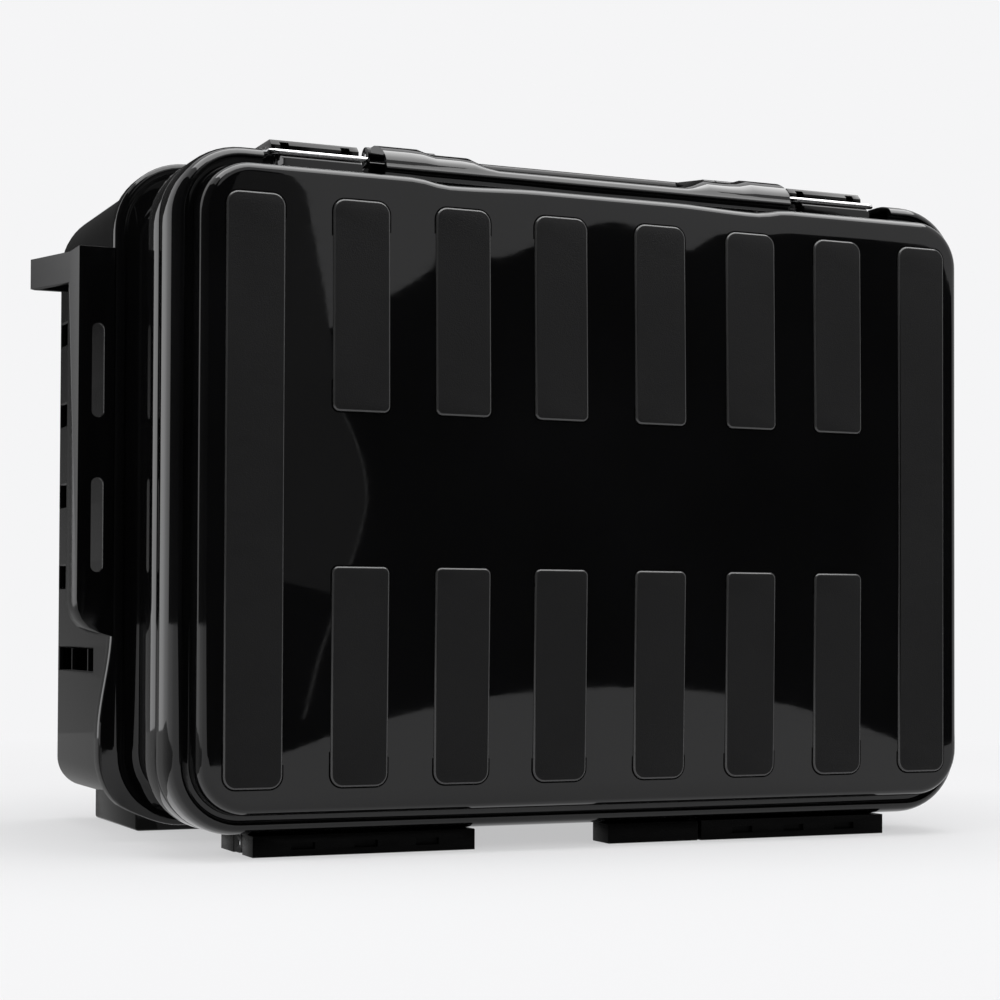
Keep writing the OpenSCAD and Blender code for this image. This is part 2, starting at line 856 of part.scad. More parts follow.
module lift_out_tray() {
    color([0.2, 0.21, 0.22]) from_front() {
        tube_ring(tray_w, tray_h, 16, tray_t, tray_y[0], tray_y[1] - tray_t, mid_z);
        slab(tray_y[1] - tray_t, tray_y[1], mid_z) rrect(tray_w, tray_h, 16);
        slab(tray_ledge_y - tray_t, tray_ledge_y, mid_z) difference() {
            rrect(mouth_w - 3, mouth_h - 3, 19);
            rrect(tray_w - eps, tray_h - eps, 16);
        }
    }
}

module tray_dividers() {
    t = 2;
    low = tray_y[0] + 4;
    high = tray_y[1] - tray_t;
    in_w = tray_w - 2 * tray_t;
    in_h = tray_h - 2 * tray_t;
    color([0.25, 0.26, 0.27]) from_front() {
        box([-in_w / 2, in_w / 2], [low, high], [mid_z - t / 2, mid_z + t / 2]);
        for (s = [-1, 1], x = [-in_w / 4, 0, in_w / 4])
            box([x - t / 2, x + t / 2], [low, high],
                s < 0 ? [mid_z - in_h / 2, mid_z - t / 2] : [mid_z + t / 2, mid_z + in_h / 2]);
    }
}

module main_dividers() {
    t = 3;
    x = 78;
    corner = tub_back_r - wall + gap;
    front = tub_start + 6;
    back = depth - wall;
    low = tub_bottom + wall;
    high = tub_top - wall;
    color([0.2, 0.21, 0.22]) from_front()
        for (s = [-1, 1])
            translate([s * x - t / 2, 0, 0]) rotate([90, 0, 90]) linear_extrude(t)
                polygon([
                    [front, low], [back - corner, low], [back, low + corner],
                    [back, high - corner], [back - corner, high], [front, high]
                ]);
}

base_shell();
lid_shell();
lid_gasket();
long_pads();
upper_pads();
lower_pads();
hinge_block_left();
hinge_block_right();
lid_leaf_left();
lid_leaf_right();
hinge_rods();
lid_foot();
rear_foot_left();
rear_foot_right();
side_rail_left();
side_rail_right();
rail_screws();
latch_bracket_left();
latch_bracket_right();
latch_pin_left();
latch_pin_right();
latch_lever_left();
latch_lever_right();
latch_bail_left();
latch_bail_right();
handle();
handle_lug_left();
handle_lug_right();
handle_pins();
lug_screws();
lift_out_tray();
tray_dividers();
main_dividers();
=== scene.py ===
"""The looks of a hard plastic tackle case that stands on its hinge side."""

import json
import math

import bmesh
import bpy
from mathutils import Matrix, Vector


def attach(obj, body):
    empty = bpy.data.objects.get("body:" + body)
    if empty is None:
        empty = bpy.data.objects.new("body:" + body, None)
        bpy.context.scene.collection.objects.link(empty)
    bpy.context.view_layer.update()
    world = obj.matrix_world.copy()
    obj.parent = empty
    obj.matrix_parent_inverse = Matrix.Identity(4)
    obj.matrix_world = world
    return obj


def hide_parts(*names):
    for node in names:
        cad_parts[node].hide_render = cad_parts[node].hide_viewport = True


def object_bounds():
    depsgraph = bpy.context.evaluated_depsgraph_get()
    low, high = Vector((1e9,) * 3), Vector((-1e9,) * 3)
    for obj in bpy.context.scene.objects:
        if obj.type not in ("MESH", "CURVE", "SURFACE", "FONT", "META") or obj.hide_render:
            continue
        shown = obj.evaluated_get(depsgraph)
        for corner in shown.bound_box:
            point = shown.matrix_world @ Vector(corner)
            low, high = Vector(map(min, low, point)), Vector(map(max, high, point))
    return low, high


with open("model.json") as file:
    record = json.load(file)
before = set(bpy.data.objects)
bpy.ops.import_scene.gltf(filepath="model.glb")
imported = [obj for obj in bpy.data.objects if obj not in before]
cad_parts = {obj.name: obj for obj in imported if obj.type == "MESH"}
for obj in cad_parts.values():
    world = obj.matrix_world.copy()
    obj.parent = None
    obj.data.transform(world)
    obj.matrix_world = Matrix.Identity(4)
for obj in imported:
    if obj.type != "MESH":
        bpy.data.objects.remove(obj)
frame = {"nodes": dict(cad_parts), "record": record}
cad_low, cad_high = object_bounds()

MM = 0.001
NODES = frame["nodes"]
BODY_OF = {n: b for b, names in frame["record"]["behaviour"]["bodies"].items() for n in names}

# ---------------------------------------------------------------- sizes, in millimetres
# Depth counts from the foremost plane of the lid backwards, as on a side view of the case.

FRONT = cad_low.y / MM

RIM_HALF = 240.0
RIM_LOW, RIM_HIGH = 11.0, 368.0
RIM_R = 38.0
PANEL_IN = 11.0
PANEL_FLAT_FROM = 214.0
CROWN = 3.0
PANEL_FRONT = 4.2
PAD_T = 1.2

PAD_W = 31.2
PAD_PITCH = 57.0
PAD_MID_GAP = 3.0
PADS_TOP, PADS_BOTTOM = 340.0, 36.5
UPPER_ROW_END, LOWER_ROW_END = 230.0, 150.0
PAD_BIG_R, PAD_SMALL_R = 6.6, 3.4

TUB_HALF = 236.0
RECESS_ROWS, RECESS_LOW, RECESS_PITCH = 5, 98.8, 49.8
RECESS_H, RECESS_DEPTH = 13.0, 6.0

LATCH_X = 157.8
LATCH_BAY_HALF = 34.0


# ---------------------------------------------------------------- camera

def make_camera():
    """The photograph's view: from the front left, level with the lower third of the case."""
    focal_px = 2235.7
    sensor_mm = 36.0
    principal_down_px = 73.8
    heading_deg = 23.74
    climb_deg = 1.32
    roll_deg = 0.22
    data = bpy.data.cameras.new("camera")
    data.sensor_width = sensor_mm
    data.lens = focal_px * sensor_mm / 1000
    data.shift_y = principal_down_px / 1000
    data.clip_start, data.clip_end = 0.05, 60
    camera = bpy.data.objects.new("camera", data)
    bpy.context.scene.collection.objects.link(camera)
    camera.location = (-0.5426, -1.2325, 0.120)
    turn = Matrix.Rotation(math.radians(-heading_deg), 4, "Z")
    tilt = Matrix.Rotation(math.radians(90 + climb_deg), 4, "X")
    roll = Matrix.Rotation(math.radians(roll_deg), 4, "Z")
    camera.rotation_euler = (turn @ tilt @ roll).to_euler()
    bpy.context.scene.camera = camera


# ---------------------------------------------------------------- materials

def new_material(name):
    material = bpy.data.materials.new(name)
    material.use_nodes = True
    nodes, links = material.node_tree.nodes, material.node_tree.links
    return material, nodes, links, nodes["Principled BSDF"]


def add_noise(nodes, links, coords, scale, detail=4.0, stretch=(1, 1, 1)):
    mapping = nodes.new("ShaderNodeMapping")
    mapping.inputs["Scale"].default_value = stretch
    noise = nodes.new("ShaderNodeTexNoise")
    noise.inputs["Scale"].default_value = scale
    noise.inputs["Detail"].default_value = detail
    links.new(coords.outputs["Object"], mapping.inputs["Vector"])
    links.new(mapping.outputs["Vector"], noise.inputs["Vector"])
    return noise


def add_range(nodes, links, source, low, high, from_low=0.3, from_high=0.7):
    remap = nodes.new("ShaderNodeMapRange")
    remap.inputs["From Min"].default_value = from_low
    remap.inputs["From Max"].default_value = from_high
    remap.inputs["To Min"].default_value = low
    remap.inputs["To Max"].default_value = high
    links.new(source, remap.inputs["Value"])
    return remap.outputs["Result"]


def add_bump(nodes, links, bsdf, height, strength, distance):
    bump = nodes.new("ShaderNodeBump")
    bump.inputs["Strength"].default_value = strength
    bump.inputs["Distance"].default_value = distance
    links.new(height, bump.inputs["Height"])
    previous = bsdf.inputs["Normal"].links
    if previous:
        links.new(previous[0].from_socket, bump.inputs["Normal"])
    links.new(bump.outputs["Normal"], bsdf.inputs["Normal"])


def mix_colours(nodes, links, factor, dark, light):
    ramp = nodes.new("ShaderNodeValToRGB")
    ramp.color_ramp.elements[0].position = 0.3
    ramp.color_ramp.elements[1].position = 0.7
    ramp.color_ramp.elements[0].color = (*dark, 1)
    ramp.color_ramp.elements[1].color = (*light, 1)
    links.new(factor, ramp.inputs["Fac"])
    return ramp.outputs["Color"]


def plastic(name, dark, light, rough, grain, grain_strength, grain_depth, specular=0.5, coat=0.0):
    """Moulded plastic: a faint cloud in colour and gloss, handling marks and a surface grain."""
    material, nodes, links, bsdf = new_material(name)
    coords = nodes.new("ShaderNodeTexCoord")
    cloud = add_noise(nodes, links, coords, 9.0, 3.0)
    marks = add_noise(nodes, links, coords, 70.0, 6.0, (1, 1, 4))
    skin = add_noise(nodes, links, coords, grain, 3.0)
    links.new(mix_colours(nodes, links, cloud.outputs["Fac"], dark, light), bsdf.inputs["Base Color"])
    links.new(add_range(nodes, links, marks.outputs["Fac"], rough[0], rough[1]), bsdf.inputs["Roughness"])
    add_bump(nodes, links, bsdf, skin.outputs["Fac"], grain_strength, grain_depth)
    bsdf.inputs["Specular IOR Level"].default_value = specular
    bsdf.inputs["Coat Weight"].default_value = coat
    return material


def metal(name, dark, light, rough, stretch):
    material, nodes, links, bsdf = new_material(name)
    coords = nodes.new("ShaderNodeTexCoord")
    drawn = add_noise(nodes, links, coords, 900.0, 4.0, stretch)
    links.new(mix_colours(nodes, links, drawn.outputs["Fac"], dark, light), bsdf.inputs["Base Color"])
    links.new(add_range(nodes, links, drawn.outputs["Fac"], rough[0], rough[1]), bsdf.inputs["Roughness"])
    add_bump(nodes, links, bsdf, drawn.outputs["Fac"], 0.15, 0.0001)
    bsdf.inputs["Metallic"].default_value = 1.0
    return material


def make_materials():
    return {
        "gloss_plastic": plastic("polished_black", (0.0020, 0.0020, 0.0021), (0.0030, 0.0030, 0.0032),
                                 (0.02, 0.045), 60.0, 0.05, 0.0002, specular=0.40),
        "black_plastic": plastic("moulded_black", (0.0016, 0.0016, 0.0017), (0.0028, 0.0028, 0.003),
                                 (0.09, 0.16), 900.0, 0.06, 0.0002, specular=0.18),
        "hinge_plastic": plastic("hinge_black", (0.0008, 0.0008, 0.0008), (0.0014, 0.0014, 0.0014),
                                 (0.22, 0.36), 900.0, 0.12, 0.0002, specular=0.04),
        # pad edge: a base colour several times lighter than the pad's own, a painted highlight along the side
        # wall and bevel; its higher gloss is the edge's real finish
        "pad_edge_painted_highlight": plastic("pad_edge_painted_highlight", (0.028, 0.028, 0.028), (0.036, 0.036, 0.036),
                            (0.16, 0.22), 900.0, 0.10, 0.0001, specular=0.55),
        "pad_plastic": plastic("grained_black", (0.0070, 0.0070, 0.0072), (0.0094, 0.0094, 0.0096),
                               (0.46, 0.60), 1500.0, 0.55, 0.0003, specular=0.12),
        # pad gap: a near-black matte ring set just proud of the panel round each pad, painted shade standing
        # in for the shadow of the groove the pad sits in
        "pad_gap_painted_shade": plastic("pad_gap_painted_shade", (0.0006, 0.0006, 0.0006), (0.001, 0.001, 0.001),
                           (0.7, 0.8), 900.0, 0.10, 0.0001, specular=0.02),
        "seal_rubber": plastic("seal_rubber", (0.012, 0.012, 0.012), (0.02, 0.02, 0.02),
                               (0.6, 0.75), 1200.0, 0.3, 0.0002, specular=0.3),
        "tray_plastic": plastic("tray_grey", (0.035, 0.037, 0.04), (0.05, 0.052, 0.056),
                                (0.32, 0.45), 700.0, 0.2, 0.0002),
        "bright_steel": metal("bright_steel", (0.62, 0.63, 0.64), (0.80, 0.80, 0.80), (0.14, 0.26),
                              (0.05, 1, 1)),
        "screw_steel": metal("screw_steel", (0.40, 0.41, 0.43), (0.58, 0.58, 0.60), (0.25, 0.4), (1, 1, 1)),
    }


# ---------------------------------------------------------------- mesh helpers

def link(name, mesh):
    piece = bpy.data.objects.new(name, mesh)
    bpy.context.scene.collection.objects.link(piece)
    return piece


def smooth_by_angle(mesh, degrees=32):
    """Smooth faces, with every edge sharper than the angle kept hard."""
    bm = bmesh.new()
    bm.from_mesh(mesh)
    limit = math.radians(degrees)
    for face in bm.faces:
        face.smooth = True
    for edge in bm.edges:
        edge.smooth = len(edge.link_faces) == 2 and edge.calc_face_angle(0) < limit
    bm.to_mesh(mesh)
    bm.free()


def apply_modifiers(piece):
    graph = bpy.context.evaluated_depsgraph_get()
    mesh = bpy.data.meshes.new_from_object(piece.evaluated_get(graph), depsgraph=graph)
    piece.modifiers.clear()
    old = piece.data
    piece.data = mesh
    bpy.data.meshes.remove(old)


def add_bevel(piece, width_mm, segments=3, angle=35):
    bevel = piece.modifiers.new("soft_edges", "BEVEL")
    bevel.width = width_mm * MM
    bevel.segments = segments
    bevel.limit_method = "ANGLE"
    bevel.angle_limit = math.radians(angle)
    bevel.use_clamp_overlap = True
    bevel.harden_normals = False


def finish_piece(piece, materials, slot, *nodes):
    if len(piece.data.materials):
        piece.data.materials.clear()
    for material in materials:
        piece.data.materials.append(material)
    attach(piece, BODY_OF[nodes[0]])
    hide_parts(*nodes)
    return piece


def dress(node, materials, bevel_mm=0.5, segments=3, finish=None):
    """A CAD node's own shape with its edges softened, as a moulded or turned piece has them."""
    slot = SLOT_OF[node]
    mesh = NODES[node].data.copy()
    bm = bmesh.new()
    bm.from_mesh(mesh)
    bmesh.ops.remove_doubles(bm, verts=bm.verts, dist=0.00001)
    bmesh.ops.dissolve_limit(bm, angle_limit=math.radians(1.0), verts=bm.verts, edges=bm.edges)
    bm.to_mesh(mesh)
    bm.free()
    if "custom_normal" in mesh.attributes:
        mesh.attributes.remove(mesh.attributes["custom_normal"])
    piece = link(node + "_finished", mesh)
    if bevel_mm:
        add_bevel(piece, bevel_mm, segments)
        apply_modifiers(piece)
    smooth_by_angle(piece.data)
    return finish_piece(piece, [materials[finish or slot]], slot, node)


def outline_point(half, low, high, radii, count_straight, count_corner):
    """Points of a rounded rectangle in width and height, counter-clockwise seen from the front."""
    r0, r1 = radii
    corners = [(half - r0, low + r0, -90, r0), (half - r1, high - r1, 0, r1),
               (-half + r1, high - r1, 90, r1), (-half + r0, low + r0, 180, r0)]
    points = []
    for k, (cx, cz, start, r) in enumerate(corners):
        for i in range(count_corner + 1):
            a = math.radians(start + 90 * i / count_corner)
            points.append((cx + r * math.cos(a), cz + r * math.sin(a)))
        nx, nz, nstart, nr = corners[(k + 1) % 4]
        a = math.radians(nstart)
        end = (nx + nr * math.cos(a), nz + nr * math.sin(a))
        first = points[-1]
        for i in range(1, count_straight):
            t = i / count_straight
            points.append((first[0] + (end[0] - first[0]) * t, first[1] + (end[1] - first[1]) * t))
    return points


def rounded_path(path):
    """Softens the corners of a path of section vectors; each entry ends with its fillet length."""
    result = []
    for i, entry in enumerate(path):
        here, size = entry[:-1], entry[-1]
        if size == 0 or i in (0, len(path) - 1):
            result.append(here)
            continue
        before, after = path[i - 1][:-1], path[i + 1][:-1]

        def along(other):
            gap = math.hypot(other[0] - here[0], other[1] - here[1])
            t = min(0.5, size / gap)
            return [h + (o - h) * t for h, o in zip(here, other)]

        start, end = along(before), along(after)
        steps = 6 if size >= 3 else 4
        for k in range(steps + 1):
            t = k / steps
            result.append([(1 - t) ** 2 * s + 2 * t * (1 - t) * h + t * t * e
                           for s, h, e in zip(start, here, end)])
    return result


def same_radii(y, half, r):
    return r, r


def loft(name, path, change=None, radii=same_radii, straight=56, corner=14):
    """A closed shell through rounded-rectangle sections (depth, half width, low, high, radius)."""
    bm = bmesh.new()
    rings = []
    for y, half, low, high, r in rounded_path(path):
        ring = []
        for x, z in outline_point(half, low, high, radii(y, half, r), straight, corner):
            point = (x, y, z) if change is None else change(x, y, z, half)
            ring.append(bm.verts.new((point[0] * MM, (point[1] + FRONT) * MM, point[2] * MM)))
        rings.append(ring)
    size = len(rings[0])
    for a, b in zip(rings, rings[1:]):
        for i in range(size):
            j = (i + 1) % size
            bm.faces.new((a[i], a[j], b[j], b[i]))
    bm.faces.new(rings[0])
    bm.faces.new(list(reversed(rings[-1])))
    bmesh.ops.recalc_face_normals(bm, faces=bm.faces)
    mesh = bpy.data.meshes.new(name)
    bm.to_mesh(mesh)
    bm.free()
    return link(name, mesh)


def inset(y, u, fillet):
    """A section of the rim's outline, drawn in by u."""
    return (y, RIM_HALF - u, RIM_LOW + u, RIM_HIGH - u, max(RIM_R - u, 3.0), fillet)


def cutter(boxes, flares=()):
    """One mesh of boxes and sideways-widening frustums, in millimetres, to cut with."""
    bm = bmesh.new()
    for x0, x1, (y0, y1), (z0, z1), grow in flares:
        ring = []
        for x, g in ((x0, 0), (x1, grow)):
            corners = ((y0 - g, z0 - g), (y1 + g, z0 - g), (y1 + g, z1 + g), (y0 - g, z1 + g))
            ring.append([bm.verts.new((x * MM, (y + FRONT) * MM, z * MM)) for y, z in corners])
        made = [bm.faces.new((ring[0][i], ring[0][(i + 1) % 4], ring[1][(i + 1) % 4], ring[1][i]))
                for i in range(4)]
        made += [bm.faces.new(ring[0]), bm.faces.new(list(reversed(ring[1])))]
        bmesh.ops.recalc_face_normals(bm, faces=made)
    for (x0, x1), (y0, y1), (z0, z1) in boxes:
        size = Vector((x1 - x0, y1 - y0, z1 - z0)) * MM
        middle = Vector(((x0 + x1) / 2, (y0 + y1) / 2 + FRONT, (z0 + z1) / 2)) * MM
        bmesh.ops.create_cube(bm, size=1, matrix=Matrix.Translation(middle) @ Matrix.Diagonal((*size, 1)))
    mesh = bpy.data.meshes.new("cutter")
    bm.to_mesh(mesh)
    bm.free()
    return link("cutter", mesh)


def cut(piece, boxes, flares=()):
    tool = cutter(boxes, flares)
    boolean = piece.modifiers.new("cut", "BOOLEAN")
    boolean.operation = "DIFFERENCE"
    boolean.solver = "EXACT"
    boolean.object = tool
    bpy.context.view_layer.update()
    apply_modifiers(piece)
    bpy.data.objects.remove(tool)


def latch_bays(depth, height):
    """The room for the two latches, as boxes to cut with."""
    return [((s * LATCH_X - LATCH_BAY_HALF, s * LATCH_X + LATCH_BAY_HALF), depth, height) for s in (-1, 1)]


# ---------------------------------------------------------------- lid

def smoothstep(t):
    t = min(1.0, max(0.0, t))
    return t * t * (3 - 2 * t)


def crown_at(x, z):
    """How far the lid's panel bulges forward at that place."""
    mid = (RIM_LOW + RIM_HIGH) / 2
    across = (min(abs(x), PANEL_FLAT_FROM) / (RIM_HALF - PANEL_IN)) ** 2
    up = ((z - mid) / (RIM_HIGH - mid - PANEL_IN)) ** 2
    return CROWN * max(0.0, 1 - across) * max(0.0, 1 - up)


def panel_dip(x):
    """The panel's upper edge is lower between the handle's ends."""
    inside = 1 - smoothstep((abs(x) - 94) / 20)
    return inside * (1.2 + 1.5 * smoothstep((abs(x) - 40) / 52))


def hood(x):
    """How far the lid's rim rises in front of the handle's lugs and hubs."""
    a = abs(x)
    if a > LATCH_X:
        return 0.0
    return 0.8 + 6.3 * smoothstep((a - 61) / 9) + 2.4 * smoothstep((a - 93) / 7)


def lid_change(x, y, z, half):
    on_panel = half <= RIM_HALF - PANEL_IN + 0.01
    if on_panel and y < 19 and half > 20:
        near_top = smoothstep((z - 300) / 50)
        z -= panel_dip(x) * near_top
    if y < PANEL_FRONT + 0.01 and on_panel:
        y -= crown_at(x, z)
    if half > RIM_HALF - 4 and y > 19.9 and z > 355:
        z += hood(x) * smoothstep((z - 355) / 10) * min(1.0, max(0.0, (y - 19.5) / 19)) ** 0.6
    return x, y, z


def make_lid(materials):
    p = PANEL_IN
    # from the inside of the front plate outwards and round to the panel
    path = [
        inset(7.5, 160, 0), inset(7.5, 22.2, 5), inset(44, 22.2, 0.6), inset(44, 20, 0.6),
        inset(35.5, 20, 0.4), inset(35.5, 14, 0.4), inset(45, 14, 0.5), inset(45, 11, 0.5),
        inset(24, 11, 1.5), inset(24, 3, 1.5), inset(45, 3, 0.6), inset(45, 0, 0.6),
        inset(40, 0, 0), inset(35.5, 0, 0), inset(31, 0.15, 2), inset(26, 1.0, 2), inset(22, 2.7, 1.5),
        inset(20.2, 5.0, 1.0), inset(20, 6.3, 0.4), inset(22.6, 7.0, 0.8), inset(22.6, p, 0.8),
        inset(17, p, 0), inset(14, p + 0.2, 0.8), inset(11, p + 0.7, 0.8), inset(8.4, p + 1.4, 0.8),
        inset(6.4, p + 2.4, 0.6), inset(5.0, p + 3.8, 0.6), inset(PANEL_FRONT + 0.1, p + 5.8, 0.6),
        inset(PANEL_FRONT, p + 8, 0), inset(PANEL_FRONT, 26, 0),
    ]
    steps = 16
    for k in range(1, steps + 1):
        u = 26 + (150 - 26) * k / steps
        path.append(inset(PANEL_FRONT, u, 0))
    lid = loft("lid_cover", path, lid_change)
    cut(lid, latch_bays((19, 46), (357, 382)))
    smooth_by_angle(lid.data)
    catches(lid)
    finish_piece(lid, [materials["gloss_plastic"]], "gloss_plastic", "lid_shell")


def catches(lid):
    """The raised bars under the bails, joined to the lid."""
    bm = bmesh.new()
    bm.from_mesh(lid.data)
    half = 22
    for s in (-1, 1):
        profile = [(25, 356.5), (25, 363.2)]
        profile += [(29 + 2 * math.cos(math.radians(a)), 363.2 + 2 * math.sin(math.radians(a)))
                    for a in range(180, -1, -20)]
        profile += [(34, 363.2), (34, 356.5)]
        ends = []
        for x in (s * LATCH_X - half, s * LATCH_X + half):
            ends.append([bm.verts.new((x * MM, (y + FRONT) * MM, z * MM)) for y, z in profile])
        count = len(profile)
        made = [bm.faces.new((ends[0][i], ends[0][(i + 1) % count], ends[1][(i + 1) % count], ends[1][i]))
                for i in range(count)]
        made.append(bm.faces.new(ends[0]))
        made.append(bm.faces.new(list(reversed(ends[1]))))
        bmesh.ops.recalc_face_normals(bm, faces=made)
    bm.to_mesh(lid.data)
    bm.free()
    smooth_by_angle(lid.data)


def pad_outline(cx, low, high, r_low, r_high, shrink, steps=7):
    half = PAD_W / 2 - shrink
    low, high = low + shrink, high - shrink
    points = []
    for px, pz, r, start in ((cx + half, low, r_low, -90), (cx + half, high, r_high, 0),
                             (cx - half, high, r_high, 90), (cx - half, low, r_low, 180)):
        r = max(r - shrink, 0.6)
        ox = px - r if px > cx else px + r
        oz = pz + r if pz == low else pz - r
        for i in range(steps + 1):
            a = math.radians(start + 90 * i / steps)
            points.append((ox + r * math.cos(a), oz + r * math.sin(a)))
    return points


def panel_surface(x, z):
    return PANEL_FRONT - crown_at(x, z)


def make_pad(bm, cx, low, high, r_low, r_high):
    """One raised pad that follows the crowned panel; its side wall and bevel carry a lighter colour as a
    painted highlight, and a dark ring of painted shade round it stands in for its groove.
    """
    steps = [(-0.75, 0.35), (-0.75, -0.06), (0.0, -0.06), (0.0, -PAD_T + 0.75), (0.15, -PAD_T + 0.5),
             (0.75, -PAD_T + 0.05), (0.95, -PAD_T)]
    # the first bands form a dark ring of painted shade round the pad where its groove would be
    painted_shade_rings = 2
    rings = []
    for shrink, lift in steps:
        outline = pad_outline(cx, low, high, r_low, r_high, shrink)
        rings.append([bm.verts.new((x * MM, (panel_surface(x, z) + lift + FRONT) * MM, z * MM))
                      for x, z in outline])
    count = len(rings[0])
    # the side wall and bevel take the lighter painted highlight colour
    for k, (a, b) in enumerate(zip(rings, rings[1:])):
        for i in range(count):
            j = (i + 1) % count
            bm.faces.new((a[i], a[j], b[j], b[i])).material_index = 2 if k < painted_shade_rings else 1
    # the top face, in strips so that it can follow the crown
    outline = pad_outline(cx, low, high, r_low, r_high, steps[-1][0])
    ring = rings[-1]
    half_count = count // 2
    right = ring[:half_count]
    left = list(reversed(ring[half_count:]))
    chain_r, chain_l = [right[0]], [left[0]]
    for k in range(1, half_count):
        a, b = right[k - 1], right[k]
        gap = abs(b.co.z - a.co.z)
        pieces = max(1, int(gap / 0.012))
        for j in range(1, pieces):
            t = j / pieces
            for chain, (p, q) in ((chain_r, (right[k - 1], right[k])), (chain_l, (left[k - 1], left[k]))):
                x = p.co.x + (q.co.x - p.co.x) * t
                z = p.co.z + (q.co.z - p.co.z) * t
                y = (panel_surface(x / MM, z / MM) + steps[-1][1] + FRONT) * MM
                chain.append(bm.verts.new((x, y, z)))
        chain_r.append(right[k])
        chain_l.append(left[k])
    for k in range(1, len(chain_r)):
        bm.faces.new((chain_r[k - 1], chain_r[k], chain_l[k], chain_l[k - 1]))


def make_pads(materials):
    inner = [s * ((i + 0.5) * PAD_PITCH + PAD_MID_GAP / 2) for s in (-1, 1) for i in range(3)]
    outer = [s * (3.5 * PAD_PITCH + PAD_MID_GAP / 2) for s in (-1, 1)]
    groups = {
        "long_pads": [(x, PADS_BOTTOM, PADS_TOP, PAD_BIG_R, PAD_BIG_R) for x in outer],
        "upper_pads": [(x, UPPER_ROW_END, PADS_TOP, PAD_SMALL_R, PAD_BIG_R) for x in inner],
        "lower_pads": [(x, PADS_BOTTOM, LOWER_ROW_END, PAD_BIG_R, PAD_SMALL_R) for x in inner],
    }
    for node, pads in groups.items():
        bm = bmesh.new()
        for pad in pads:
            make_pad(bm, *pad)
        bmesh.ops.remove_doubles(bm, verts=bm.verts, dist=0.000001)
        bmesh.ops.recalc_face_normals(bm, faces=bm.faces)
        mesh = bpy.data.meshes.new(node)
        bm.to_mesh(mesh)
        bm.free()
        piece = link(node + "_finished", mesh)
        smooth_by_angle(piece.data, 50)
        # the pad's own grained black, the edge's painted highlight colour and the ring's painted shade
        layers = [materials[m] for m in ("pad_plastic", "pad_edge_painted_highlight", "pad_gap_painted_shade")]
        finish_piece(piece, layers, "pad_plastic", node)


# ---------------------------------------------------------------- tub

def tub_change(x, y, z, half):
    """The second flange swells sideways towards its lower corners."""
    if half > 241 and 129 < y < 146:
        swell = smoothstep((118 - z) / 60) * smoothstep((z - 8) / 14)
        if abs(x) > 200:
            x += math.copysign(7.0 * swell, x)
    if half > RIM_HALF - 4 and y < 69 and z > 355:
        z += min(hood(x), 2.2) * smoothstep((z - 355) / 10)
    return x, y, z


def tub_radii(y, half, r):
    """Behind the second flange the lower corners are tighter and the upper ones rounder."""
    if y > 145.5 and half > 200:
        return r - 12, r + 6
    return r, r


def make_tub(materials):
    path = [
        (300, 140, 110, 290, 8, 0), (300, 236, 20, 376, 30, 10), (146, 236, 20, 376, 30, 3),
        (144, 239, 13, 376.6, 36, 1), (144, 242, 8, 378, 40, 1.4), (131.4, 242, 8, 378, 40, 1.6),
        (130, 239.4, 10.6, 375.4, 37.4, 0.8), (130, 236.5, 13, 372, 34, 0.8),
        (131.3, 235.4, 14, 371, 33, 0.6),
        (130.6, 226, 25, 354, 24, 8), inset(68, 14, 0), inset(49, 14, 1), inset(49, 3, 1),
        inset(68, 3, 0.6), inset(68, 0, 1.0), inset(46, 0, 1.8), inset(46, 14.6, 0.5),
        inset(41.2, 14.6, 0.6), inset(41.2, 17, 0.6), inset(60, 17, 0), inset(60, 21, 0.8),
        inset(63, 21, 0.8), inset(63, 17, 0), inset(133, 17, 0.8), (133, 233, 23, 373, 30, 0.8),
        (297, 233, 23, 373, 27, 7), (297, 140, 110, 290, 8, 0),
    ]
    tub = loft("tub_cover", path, tub_change, tub_radii)
    boxes = latch_bays((45, 69), (354, 380))
    cut(tub, boxes)
    cut_recesses(tub)
    smooth_by_angle(tub.data)
    finish_piece(tub, [materials["gloss_plastic"]], "gloss_plastic", "base_shell")


def cut_recesses(tub):
    """Rows of shallow pockets in the tub's sides, each with two upright ribs and a flared lip."""
    lip = 1.0
    boxes, lips = [], []
    for row in range(RECESS_ROWS):
        z = RECESS_LOW + RECESS_PITCH * row
        low, high = z - RECESS_H / 2, z + RECESS_H / 2
        for side in (-1, 1):
            floor_x, out_x = side * (TUB_HALF - RECESS_DEPTH), side * (TUB_HALF + 3)
            cells = [(219.2, 258.2), (259.8, 292)]
            if row == 0:
                cells.insert(0, (201, 217.2))
            for y0, y1 in cells:
                boxes.append((sorted((floor_x, out_x)), (y0, y1), (low, high)))
            lips.append((side * (TUB_HALF - lip), side * (TUB_HALF + lip), (cells[0][0], 292), (low, high),
                         2 * lip))
    cut(tub, boxes)
    cut(tub, [], lips)


# ---------------------------------------------------------------- studio

BACKGROUND = (0.913, 0.913, 0.922, 1)


def background_rays(nodes, links):
    """1 for camera, glossy and transmission rays, which all see the plain background."""
    path = nodes.new("ShaderNodeLightPath")
    total = path.outputs["Is Camera Ray"]
    for name in ("Is Glossy Ray", "Is Transmission Ray"):
        add = nodes.new("ShaderNodeMath")
        add.operation = "ADD"
        add.use_clamp = True
        links.new(total, add.inputs[0])
        links.new(path.outputs[name], add.inputs[1])
        total = add.outputs[0]
    return total


